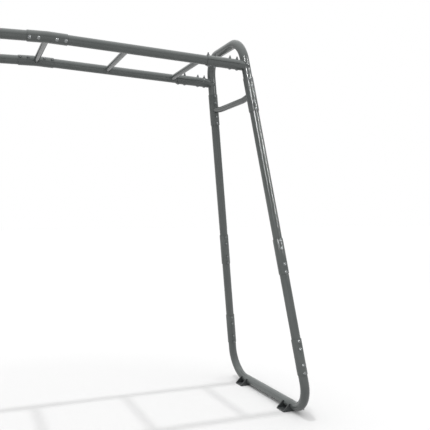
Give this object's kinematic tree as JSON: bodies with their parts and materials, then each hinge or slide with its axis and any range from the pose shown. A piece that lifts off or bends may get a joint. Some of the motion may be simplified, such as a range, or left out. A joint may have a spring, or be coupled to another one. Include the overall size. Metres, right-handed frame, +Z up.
{
  "type": "monkey bars",
  "caption": "Free-standing monkey bars: two leaning tube end frames with plastic feet carry an arched ladder bolted together from tubes, rungs and splice sleeves.",
  "frame": {"origin": "on the floor, under the middle rung, at the centre of the bounding box base", "axes": "+X along the ladder, +Y across it, +Z up"},
  "size_m": [2.7788, 0.965, 2.082],
  "materials": {
    "powder_coat": "dark grey powder coat, satin, fine orange peel",
    "black_plastic": "black moulded plastic, fine grain",
    "zinc_steel": "bright zinc plate"
  },
  "bodies": {
    "root": {"right_top_hoop": "powder_coat", "right_bottom_hoop": "powder_coat", "left_top_hoop": "powder_coat", "left_bottom_hoop": "powder_coat", "right_front_upper_leg": "powder_coat", "right_back_upper_leg": "powder_coat", "left_front_upper_leg": "powder_coat", "left_back_upper_leg": "powder_coat", "right_front_lower_leg": "powder_coat", "right_back_lower_leg": "powder_coat", "left_front_lower_leg": "powder_coat", "left_back_lower_leg": "powder_coat", "right_front_upper_sleeve": "powder_coat", "right_back_upper_sleeve": "powder_coat", "left_front_upper_sleeve": "powder_coat", "left_back_upper_sleeve": "powder_coat", "right_front_middle_sleeve": "powder_coat", "right_back_middle_sleeve": "powder_coat", "left_front_middle_sleeve": "powder_coat", "left_back_middle_sleeve": "powder_coat", "right_front_lower_sleeve": "powder_coat", "right_back_lower_sleeve": "powder_coat", "left_front_lower_sleeve": "powder_coat", "left_back_lower_sleeve": "powder_coat", "right_brace": "powder_coat", "left_brace": "powder_coat", "right_front_foot": "black_plastic", "right_back_foot": "black_plastic", "left_front_foot": "black_plastic", "left_back_foot": "black_plastic", "right_front_rail": "powder_coat", "right_back_rail": "powder_coat", "left_front_rail": "powder_coat", "left_back_rail": "powder_coat", "front_splice_sleeve": "powder_coat", "back_splice_sleeve": "powder_coat", "middle_rung": "powder_coat", "right_inner_rung": "powder_coat", "right_outer_rung": "powder_coat", "left_inner_rung": "powder_coat", "left_outer_rung": "powder_coat", "right_front_lower_shell": "powder_coat", "right_back_lower_shell": "powder_coat", "left_front_lower_shell": "powder_coat", "left_back_lower_shell": "powder_coat", "right_front_upper_shell": "powder_coat", "right_back_upper_shell": "powder_coat", "left_front_upper_shell": "powder_coat", "left_back_upper_shell": "powder_coat", "upper_sleeve_bolts": "zinc_steel", "upper_sleeve_nuts": "zinc_steel", "middle_sleeve_bolts": "zinc_steel", "middle_sleeve_nuts": "zinc_steel", "lower_sleeve_bolts": "zinc_steel", "lower_sleeve_nuts": "zinc_steel", "splice_bolts": "zinc_steel", "splice_nuts": "zinc_steel", "coupling_bolts": "zinc_steel", "coupling_nuts": "zinc_steel"}
  },
  "joints": []
}
